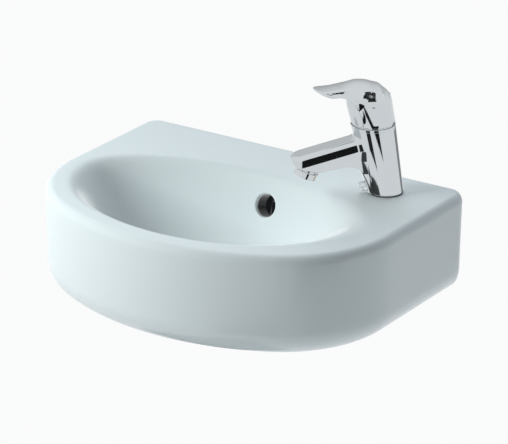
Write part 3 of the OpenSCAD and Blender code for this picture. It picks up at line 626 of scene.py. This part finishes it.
# %% Lever
ARCH = smooth_line([
    [33, 80], [33, 93.5], [34.9, 102.7], [38.5, 109.9], [42.6, 115.2], [47.8, 119.4],
    [52.2, 121.6], [57.4, 122.3], [62.6, 121.8], [68.6, 121.6], [88, 130.6]], 2)
HOOD = np.concatenate([[[-40, 80]], ARCH, [[110, 141], [110, 160], [-40, 160]]])
HEAD_A, HEAD_B = np.array([16.5, 0, 110.0]), np.array([26.5, 0, 111.0])
SHOULDER, HEAD_R = np.array([33.0, 0, 115.5]), 21.4
TOP_U = np.array([-10, 11, 22, 38, 55.7, 67.5, 79, 87, 100])
TOP_H = np.array([122, 131, 135.2, 136, 133, 131, 130.3, 130, 129.8])
PLAN_U = np.array([0, 20, 32, 44, 56, 66, 74.5, 100])
PLAN_W = np.array([19, 19.5, 18.5, 15.5, 13.6, 12.8, 12.5, 12.5])
SKIRT_TOP_H, SKIRT_LOW_H = 86.5, 84.2
FINE_U = np.linspace(-60, 140, 801)
PADDLE_U, PADDLE_W, PADDLE_BACK_U = 74.5, 12.5, 10
CROWN, CROWN_W, PADDLE_ROUND, PADDLE_FILLET = 1.4, 13, 2.0, 8.0
LIP_OUT, LIP_WIDE, LIP_RISE, HOOD_ROUND = 1.6, 5.0, 8, 1.0


def smooth_table(xs, ys):
    """Stops joined by straight lines, then averaged over 9 mm, which rounds the corners."""
    line = np.interp(FINE_U, xs, ys)
    kernel = np.hanning(39)
    return np.convolve(np.pad(line, 19, mode="edge"), kernel / kernel.sum(), "valid")


TOP_TABLE, PLAN_TABLE = smooth_table(TOP_U, TOP_H), smooth_table(PLAN_U, PLAN_W)


def head_field(p):
    """Balls and round cones from the skirt up to the shoulder, melted together."""
    low = round_cone(p, PIVOT, HEAD_A, BALL_R, HEAD_R)
    front = round_cone(p, PIVOT, HEAD_B, BALL_R, HEAD_R)
    top = round_cone(p, HEAD_A, HEAD_B, HEAD_R, HEAD_R)
    return np.minimum(np.minimum(low, front), top)


def paddle_field(p):
    """A slab: its top follows the top line with a slight crown, its plan narrows to a round tip."""
    u, v, h = p[..., 0], p[..., 1], p[..., 2]
    wide = np.interp(u, FINE_U, PLAN_TABLE)
    tip = np.hypot(np.maximum(u - PADDLE_U, 0), v) - PADDLE_W
    edge = np.where(u > PADDLE_U, tip, np.abs(v) - wide)
    edge = np.maximum(edge, PADDLE_BACK_U - u)
    top = h - np.interp(u, FINE_U, TOP_TABLE) + CROWN * (v / CROWN_W) ** 2
    return round_meet(edge, top, PADDLE_ROUND)


def lever_field(p):
    """Head, shoulder and paddle melted together, cut to the hood's side view, with a lip on it."""
    u, h = p[..., 0], p[..., 2]
    head = head_field(p)
    shoulder = round_cone(p, HEAD_B, SHOULDER, 21.2, 20.4)
    paddle = paddle_field(p)
    hood = polygon_distance(u, h, HOOD)
    big = fillet_union(np.minimum(head, shoulder), paddle, PADDLE_FILLET)
    rise = np.clip((h - PIVOT[2]) / LIP_RISE, 0, 1)
    lip = LIP_OUT * rise * np.clip(1 + hood / LIP_WIDE, 0, 1) ** 2
    hooded = round_meet(big - lip, hood, HOOD_ROUND)
    joined = fillet_union(hooded, head, HOOD_ROUND)
    joined = np.where(h < PIVOT[2], np.linalg.norm(p - PIVOT, axis=-1) - BALL_R, joined)
    return np.maximum(joined, SKIRT_TOP_H - h)


points, quads, normals = skin_of(lever_field, (-12, -30, 85), (90, 30, 140), NET)
lever = add_mesh("lever_chrome", to_world(points), quads, normals @ LOCAL)
print("lever faces:", len(quads))
skirt = [ring(np.sqrt(BALL_R ** 2 - (z - PIVOT[2]) ** 2), z)
         for z in np.linspace(SKIRT_TOP_H, SKIRT_LOW_H, 8)]
skirt += [ring(SKIRT_R, SKIRT_LOW_H), ring(SKIRT_R, SKIRT_TOP_H)]
skirt_piece = sealed("lever_skirt", to_world(np.stack(skirt)), sharp=40)

# %% [markdown]
# ## Shader maths as Python
# A material varies over a surface through chains of nodes. A small class lets an ordinary
# Python expression add those nodes, and one method adds any other node.

# %% Shader helpers
class Wire:
    """A number that varies over the surface; each operator adds one Math node."""

    def __init__(self, finish, socket):
        self.finish, self.socket = finish, socket

    def maths(self, operation, *values):
        """One Math node over this number and others."""
        return self.finish.node("ShaderNodeMath", {"operation": operation}, dict(enumerate(values)))

    def __add__(self, other):
        return self.maths("ADD", self, other)

    def __sub__(self, other):
        return self.maths("SUBTRACT", self, other)

    def __mul__(self, other):
        return self.maths("MULTIPLY", self, other)

    def clamp(self, low, high):
        """The number, held between low and high."""
        return self.maths("MINIMUM", self.maths("MAXIMUM", self, low), high)


class Finish:
    """One material: a Principled shader, its constant values and the nodes that vary it."""

    def __init__(self, name, color, roughness, **constants):
        self.material = bpy.data.materials.new(name)
        self.material.use_nodes = True
        self.tree = self.material.node_tree
        self.shader = self.tree.nodes["Principled BSDF"]
        self.set("Base Color", (*color, 1.0))
        self.set("Roughness", roughness)
        for key, value in constants.items():
            self.set(key.replace("_", " "), value)
        self.place = self.node("ShaderNodeTexCoord", out="Object")

    def node(self, kind, settings=None, inputs=None, out=0):
        """Adds a node: its settings first, then each input as a value or a link."""
        made = self.tree.nodes.new(kind)
        for key, value in (settings or {}).items():
            setattr(made, key, value)
        for key, value in (inputs or {}).items():
            self.feed(made.inputs[key], value)
        return Wire(self, made.outputs[out])

    def feed(self, socket, value):
        """Links a Wire to an input, or writes a plain value into it."""
        if isinstance(value, Wire):
            self.tree.links.new(value.socket, socket)
        else:
            socket.default_value = value

    def set(self, socket, value):
        """Feeds one input of the Principled shader."""
        self.feed(self.shader.inputs[socket], value)

    def noise(self, scale, detail=2.0, rough=0.5, vector=None):
        """Soft random patches; scale counts them per metre."""
        return self.node("ShaderNodeTexNoise", {}, {"Vector": vector or self.place, "Scale": scale,
                                                    "Detail": detail, "Roughness": rough}, "Fac")

    def mix(self, factor, a, b):
        """Colour between a and b."""
        made = self.node("ShaderNodeMix", {"data_type": "RGBA"}, {"Factor": factor}, 2)
        self.feed(made.socket.node.inputs[6], a)
        self.feed(made.socket.node.inputs[7], b)
        return made

    def bump(self, height, strength, distance):
        """Lets a height, over a distance in metres, bend the light as relief would."""
        self.set("Normal", self.node("ShaderNodeBump", {}, {"Height": height, "Strength": strength,
                                                            "Distance": distance}, "Normal"))


# %% [markdown]
# ## Glaze
# Sanitary glaze is a thick glass over white clay. It pools and ripples a little, its white is
# faintly cool, and it holds rare specks. Two scales of noise give the ripple, and a third moves
# the white by a few parts in a hundred. A roughness near zero would mirror the room sharply;
# here it is higher, for soft lights, but it stays below 0.27, because test renders showed light
# blotches wherever it rose past about 0.275. Inside the overflow, shade is painted: that could
# be left to the shadows, but a mask in metres along the hole's own axis paints it dark, which
# is surer.

# %% Glaze
glaze = Finish("glazed_clay", (0.79, 0.84, 0.845), 0.26)
cloud = glaze.noise(9.0, 3.0)
speck = glaze.noise(900.0, 1.0)
white = glaze.mix(cloud, (0.775, 0.83, 0.836, 1), (0.80, 0.85, 0.854, 1))
speckled = glaze.mix(((speck - 0.79) * 12).clamp(0, 1), white, (0.55, 0.56, 0.55, 1))
MOUTH_FROM, MOUTH_TO, MOUTH_R = 0.004, 0.034, 0.0165
DEPTH_RAMP, SIDE_RAMP = 400, 2000
axis_way = tuple(OVERFLOW_AXIS)
from_mouth = glaze.node("ShaderNodeVectorMath", {"operation": "SUBTRACT"}, {
    0: glaze.place, 1: tuple(OVERFLOW / 1000)}, "Vector")
into_clay = glaze.node("ShaderNodeVectorMath", {"operation": "DOT_PRODUCT"}, {
    0: from_mouth, 1: axis_way}, "Value")
beside = glaze.node("ShaderNodeVectorMath", {"operation": "CROSS_PRODUCT"}, {
    0: from_mouth, 1: axis_way}, "Vector")
off_axis = glaze.node("ShaderNodeVectorMath", {"operation": "LENGTH"}, {0: beside}, "Value")
# Painted shade: the passage behind the overflow's mouth gets a near-black colour and full metallic,
# so it neither scatters nor mirrors light, as if it lay in deep shadow.
painted_overflow_shade = ((into_clay - MOUTH_FROM) * DEPTH_RAMP).clamp(0, 1)
painted_overflow_shade = painted_overflow_shade * ((off_axis - MOUTH_R) * -SIDE_RAMP).clamp(0, 1)
painted_overflow_shade = painted_overflow_shade * ((into_clay - MOUTH_TO) * -DEPTH_RAMP).clamp(0, 1)
glaze.set("Metallic", painted_overflow_shade)
glaze.set("Base Color", glaze.mix(painted_overflow_shade, speckled, (0.008, 0.009, 0.01, 1)))
glaze.set("Roughness", glaze.noise(40.0, 2.0) * 0.06 + 0.205)
ripple = glaze.noise(55.0, 2.0) * 0.7 + glaze.noise(210.0, 2.0) * 0.15
glaze.bump(ripple, 0.25, 0.0003)
print("glaze nodes:", len(glaze.tree.nodes))

# %% [markdown]
# ## Chrome
# Chrome plate over polished brass mirrors its room. What keeps it from looking computed is
# slight: a long soft wave left by polishing, fine wipe marks, and a few dried water films
# that make the mirror a little rougher.

# %% Chrome
def chrome_finish(name, roughness=0.035):
    """Plate with a polishing wave and wipe marks in its bump, and dried films in its roughness."""
    made = Finish(name, (0.59, 0.63, 0.65), roughness, Metallic=1.0)
    film = made.noise(60.0, 4.0, 0.6)
    marks = made.noise(700.0, 3.0, 0.6, made.node("ShaderNodeMapping", {}, {
        "Vector": made.place, "Scale": (1, 1, 6)}))
    made.set("Roughness", ((film - 0.5) * 0.12).clamp(0, 1) + marks * 0.02 + roughness)
    made.set("Base Color", made.mix(film, (0.57, 0.61, 0.63, 1), (0.62, 0.655, 0.67, 1)))
    made.bump(made.noise(35.0, 1.0) + marks * 0.01, 0.12, 0.0002)
    return made


chrome = chrome_finish("chrome_plate")
print("chrome nodes:", len(chrome.tree.nodes))

# %% [markdown]
# ## Rubber, plastic and turned metal
# Moulds leave a fine grain, and lathes leave rings square to the axis. Both kinds of finish
# return for several pieces in other colours, so each is a function. Pictures of real samples
# could be mapped on, but these need no map and stay sharp at any distance.

# %% Moulded and machined finishes
def moulded(name, color, roughness, grain=900.0, depth=0.0001, **constants):
    """Rubber or plastic: a fine grain in bump and roughness, and a slight unevenness of colour."""
    made = Finish(name, color, roughness, **constants)
    cloud = made.noise(80.0, 3.0)
    dark = tuple(c * 0.82 for c in color)
    made.set("Base Color", made.mix(cloud, (*dark, 1), (*color, 1)))
    fine = made.noise(grain, 2.0)
    made.set("Roughness", (fine * 0.16 + roughness - 0.08).clamp(0, 1))
    made.bump(fine, 0.35, depth)
    return made


def machined(name, color, roughness, turns=2500.0, **constants):
    """Turned metal: fine rings that the tool leaves across the axis, and patches of tarnish."""
    made = Finish(name, color, roughness, Metallic=1.0, **constants)
    rings = made.node("ShaderNodeTexWave", {"wave_type": "BANDS", "bands_direction": "Z"}, {
        "Vector": made.place, "Scale": turns / 6.28, "Distortion": 1.5, "Detail": 1.0}, "Fac")
    tarnish = made.noise(120.0, 5.0, 0.65)
    dark = tuple(c * 0.6 for c in color)
    made.set("Base Color", made.mix(tarnish, (*dark, 1), (*color, 1)))
    made.set("Roughness", (tarnish * 0.25 + rings * 0.08 + roughness - 0.12).clamp(0.05, 1))
    made.bump(rings, 0.2, 0.00005)
    return made


FINISHES = {
    "glazed_clay": glaze,
    "chrome_plate": chrome,
    "black_rubber": moulded("black_rubber", (0.018, 0.018, 0.02), 0.6),
    "grey_rubber": moulded("grey_rubber", (0.16, 0.165, 0.17), 0.6),
    "white_plastic": moulded("white_plastic", (0.72, 0.72, 0.69), 0.38),
    "grey_plastic": moulded("grey_plastic", (0.42, 0.43, 0.45), 0.35),
    "blue_plastic": moulded("blue_plastic", (0.012, 0.05, 0.35), 0.2, Coat_Weight=0.4),
    "disc_ceramic": moulded("disc_ceramic", (0.8, 0.77, 0.72), 0.22),
    "brass": machined("brass", (0.72, 0.50, 0.20), 0.3),
    "steel": machined("steel", (0.52, 0.53, 0.54), 0.35, turns=4000.0),
}
print("finishes:", ", ".join(FINISHES))

# %% [markdown]
# ## Dressing the pieces
# Every solid of the frame gets its finish by the record's slot. The new surfaces then take the
# place of basin, tap body and lever, and ride on the bodies that move them.

# %% Dress the pieces
for part in frame["record"]["subparts"]:
    mesh = nodes[part["node"]].data
    mesh.materials.clear()
    mesh.materials.append(FINISHES[part["material_slot"]].material)


def dress(piece, slot, body, *replaced):
    piece.data.materials.append(FINISHES[slot].material)
    if replaced:
        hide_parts(*replaced)
    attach(piece, body)


dress(basin, "glazed_clay", "basin_and_tap", "basin")
dress(body, "chrome_plate", "basin_and_tap", "tap_body")
dress(collar_piece, "chrome_plate", "basin_and_tap", "tap_body")
dress(lever, "chrome_plate", "lever_set", "lever")
dress(skirt_piece, "chrome_plate", "lever_set", "lever")

# %% [markdown]
# ## Tools for the stage
# A studio shows the camera one thing and lights the piece with another. The Light Path node
# tells the rays apart, so floor and world can look white and still give soft, shaped light.
# Two real rooms could be built for that, but one shader that chooses between two is simpler.

# %% Stage tools
scene = bpy.context.scene


def stage_tree(made, output):
    """Clears the nodes of a stage material or the world, and adds its output and a mix."""
    made.use_nodes = True
    tree = made.node_tree
    tree.nodes.clear()
    blend = tree.nodes.new("ShaderNodeMixShader")
    tree.links.new(blend.outputs[0], tree.nodes.new(output).inputs[0])
    return tree, blend


def maths(tree, operation, *values):
    """One Math node of a stage tree, fed with sockets and numbers."""
    made = tree.nodes.new("ShaderNodeMath")
    made.operation = operation
    for socket, value in zip(made.inputs, values):
        if isinstance(value, (int, float)):
            socket.default_value = value
        else:
            tree.links.new(value, socket)
    return made.outputs[0]


def blended(tree, blend, factor, kinds, colors):
    """Adds two shaders with their colours and lets the factor choose between them."""
    made = [tree.nodes.new(kind) for kind in kinds]
    for shader, color in zip(made, colors):
        if color:
            shader.inputs["Color"].default_value = (*color, 1)
    for socket, source in zip(blend.inputs, (factor, made[0].outputs[0], made[1].outputs[0])):
        tree.links.new(source, socket)
    return made


def seen(tree):
    """1 for rays from the camera, a mirror or glass, else 0; and 1 for those from a mirror alone."""
    path = tree.nodes.new("ShaderNodeLightPath").outputs
    mirrored = maths(tree, "MAXIMUM", path["Is Glossy Ray"], path["Is Transmission Ray"])
    return maths(tree, "MAXIMUM", path["Is Camera Ray"], mirrored), path["Is Glossy Ray"]


def lobe(tree, way, toward, power):
    """How nearly a direction points toward another: their dot product, cut at 0, to a power."""
    dot = tree.nodes.new("ShaderNodeVectorMath")
    dot.operation = "DOT_PRODUCT"
    dot.inputs[1].default_value = toward
    tree.links.new(way, dot.inputs[0])
    return maths(tree, "POWER", maths(tree, "MAXIMUM", dot.outputs["Value"], 0.0), power)


def put(name, corners, faces, material):
    """A stage mesh with one material, whose glow isn't sampled as a lamp's would be."""
    material.cycles.emission_sampling = "NONE"
    mesh = bpy.data.meshes.new(name)
    mesh.from_pydata(corners, [], faces)
    mesh.materials.append(material)
    made = bpy.data.objects.new(name, mesh)
    scene.collection.objects.link(made)
    return made


# %% [markdown]
# ## The floor
# The basin hangs at working height, so its shadow falls far below it, and the floor is seen
# only as white. It also throws a little light up, which keeps the foot from going black.

# %% Floor
FLOOR_LEVEL, FLOOR_HALF, FLOOR_COLOR = -0.85, 30, (0.82, 0.84, 0.85)
FLOOR_SHOWN, FLOOR_BOUNCE = 0.93, 0.3
pale = bpy.data.materials.new("pale_floor")
tree, blend = stage_tree(pale, "ShaderNodeOutputMaterial")
share = maths(tree, "MAXIMUM", maths(tree, "MULTIPLY", seen(tree)[0], FLOOR_SHOWN), FLOOR_BOUNCE)
blended(tree, blend, share, ("ShaderNodeBsdfDiffuse", "ShaderNodeEmission"), (FLOOR_COLOR, None))
floor = put("floor", [(x * FLOOR_HALF, y * FLOOR_HALF, FLOOR_LEVEL)
                      for x, y in ((-1, -1), (1, -1), (1, 1), (-1, 1))], [(0, 1, 2, 3)], pale)
print("floor lies", -FLOOR_LEVEL, "m below the wall holes")

# %% [markdown]
# ## The room
# The room's light comes mostly from behind the basin and from its left, as from a bright
# backdrop, and falls off smoothly all round that. A picture of a room could be wrapped round
# the scene, but a few numbers are easier to aim. Mirrors see the same white as the camera,
# dimmed towards the back, which gives the chrome its darker edges.

# %% World
ROOM_COLOR, ROOM_LIGHT = (0.885, 0.99, 1.06), 0.12
BACKDROP_WAY, BACKDROP_LIGHT = (-0.48, 0.87, 0.1), 2.6
BEHIND_WAY, BEHIND_DIMMED = (-0.46, 0.86, -0.21), 0.6
scene.world = bpy.data.worlds.new("studio")
tree, blend = stage_tree(scene.world, "ShaderNodeOutputWorld")
visible, glossy = seen(tree)
room, shown = blended(tree, blend, visible, ["ShaderNodeBackground"] * 2, (ROOM_COLOR, (1, 1, 1)))
way = tree.nodes.new("ShaderNodeTexCoord").outputs["Generated"]
glow = maths(tree, "MULTIPLY", lobe(tree, way, BACKDROP_WAY, 2.0), BACKDROP_LIGHT)
tree.links.new(maths(tree, "ADD", glow, ROOM_LIGHT), room.inputs["Strength"])
dimmed = maths(tree, "MULTIPLY", lobe(tree, way, BEHIND_WAY, 3.0), -BEHIND_DIMMED)
tree.links.new(maths(tree, "MULTIPLY_ADD", dimmed, glossy, 1.0), shown.inputs["Strength"])
print("world nodes:", len(tree.nodes))

# %% [markdown]
# ## The lamp
# One large soft lamp at the left front stands for a window. It brightens the slope of the bowl
# and the left of the front, and leaves the right in soft shade. Mirrors don't see it, because
# its hard-edged rectangle would show in the chrome.

# %% Key lamp
MIDDLE, KEY_PLACE = Vector((0, -0.17, 0.03)), Vector((-0.79, -0.97, 0.68))
lamp = bpy.data.lights.new("key", "AREA")
lamp.shape, lamp.size, lamp.size_y = "RECTANGLE", 0.9, 0.7
lamp.energy, lamp.color = 13.4, (0.945, 1.0, 1.0)
key = bpy.data.objects.new("key", lamp)
key.location = KEY_PLACE
key.rotation_euler = (MIDDLE - KEY_PLACE).to_track_quat("-Z", "Y").to_euler()
key.visible_glossy = False
scene.collection.objects.link(key)
print("key lamp stands", round((MIDDLE - KEY_PLACE).length, 2), "m away")

# %% [markdown]
# ## Dark flags for the chrome
# Chrome shows only what stands round it, and in an all-white room it looks like grey plastic.
# A photographer puts up black flags. These stand outside the basin, on arcs about the tap, and
# only mirrors see them, from one side. The clay is hidden from mirror rays, so that the spout
# mirrors the flags and the room beyond the ledge. A real tap would mirror the basin too, so
# this is a choice for the likeness and no property of the object.

# %% Flags
ARC_POINTS = 13


def mirror_card(name, middle, radii, turn, levels, shade):
    """A strip on an arc about an upright axis. Only mirrors see it, and only from inside or above.

    It runs from the first turn to the second, and from the first radius and level to the second.
    """
    ways = np.radians(np.linspace(*turn, ARC_POINTS))
    corners = [(middle[0] + r * np.cos(way), middle[1] + r * np.sin(way), level)
               for r, level in zip(radii, levels) for way in ways]
    strips = [(i, i + ARC_POINTS, i + ARC_POINTS + 1, i + 1) for i in range(ARC_POINTS - 1)]
    made = bpy.data.materials.new(name)
    tree, blend = stage_tree(made, "ShaderNodeOutputMaterial")
    side = tree.nodes.new("ShaderNodeNewGeometry").outputs["Backfacing"]
    blended(tree, blend, side, ("ShaderNodeEmission", "ShaderNodeBsdfTransparent"),
            ((shade, shade * 1.03, shade * 1.05), None))
    card = put(name, corners, strips, made)
    card.visible_camera = card.visible_diffuse = card.visible_shadow = False
    card.visible_transmission = False


BESIDE = (0.118, -0.090)
FOOT = (0.145, -0.054)
mirror_card("right_flag", BESIDE, (0.36, 0.36), (300, 334), (-0.06, 0.085), 0.012)
mirror_card("front_flag", BESIDE, (0.36, 0.36), (264, 288), (-0.16, -0.09), 0.02)
mirror_card("head_flag", BESIDE, (0.3, 0.3), (316, 330), (0.187, 0.222), 0.02)
mirror_card("low_flag", FOOT, (0.18, 0.33), (226, 268), (-0.16, -0.16), 0.06)
mirror_card("back_flag", FOOT, (0.3, 0.3), (62, 96), (-0.04, 0.06), 0.3)
basin.visible_glossy = False

# %% [markdown]
# ## Camera
# The photograph's viewpoint was found by fitting a pinhole camera to the outline: a turn, a
# rise, a slight roll, a distance and a focal length, counted here in pixels of its frame. The
# aim lies a little off the basin's middle, as in the frame, so no lens shift is needed.

# %% Camera
AZ, EL, ROLL = np.radians([33.6413, 22.0984, 0.2348])
DISTANCE, FOCAL_PX, LENS_MM, SENSOR_MM = 3.97303, 3422.3, 242.53, 36
AIM_RIGHT_PX, AIM_UP_PX = 27.245, 24.125
LOOKED_AT = np.array([0, -0.1678, -0.00135])

back = np.array([np.sin(AZ) * np.cos(EL), -np.cos(AZ) * np.cos(EL), np.sin(EL)])
level_right = np.array([np.cos(AZ), np.sin(AZ), 0])
level_up = np.cross(back, level_right)
right = np.cos(ROLL) * level_right + np.sin(ROLL) * level_up
up = -np.sin(ROLL) * level_right + np.cos(ROLL) * level_up
eye = LOOKED_AT + DISTANCE * back
backward = back - right * (AIM_RIGHT_PX / FOCAL_PX) - up * (AIM_UP_PX / FOCAL_PX)
backward /= np.linalg.norm(backward)
right = right - backward * (right @ backward)
right /= np.linalg.norm(right)
up = np.cross(backward, right)

lens = bpy.data.cameras.new("camera")
lens.lens, lens.sensor_width, lens.clip_end = LENS_MM, SENSOR_MM, 100
camera = bpy.data.objects.new("camera", lens)
turn = np.stack([right, up, backward, eye], 1)
camera.matrix_world = Matrix([*turn.tolist(), [0, 0, 0, 1]])
scene.collection.objects.link(camera)
scene.camera = camera
scene.view_settings.view_transform = "Standard"
print("camera stands at", eye.round(3), "m")
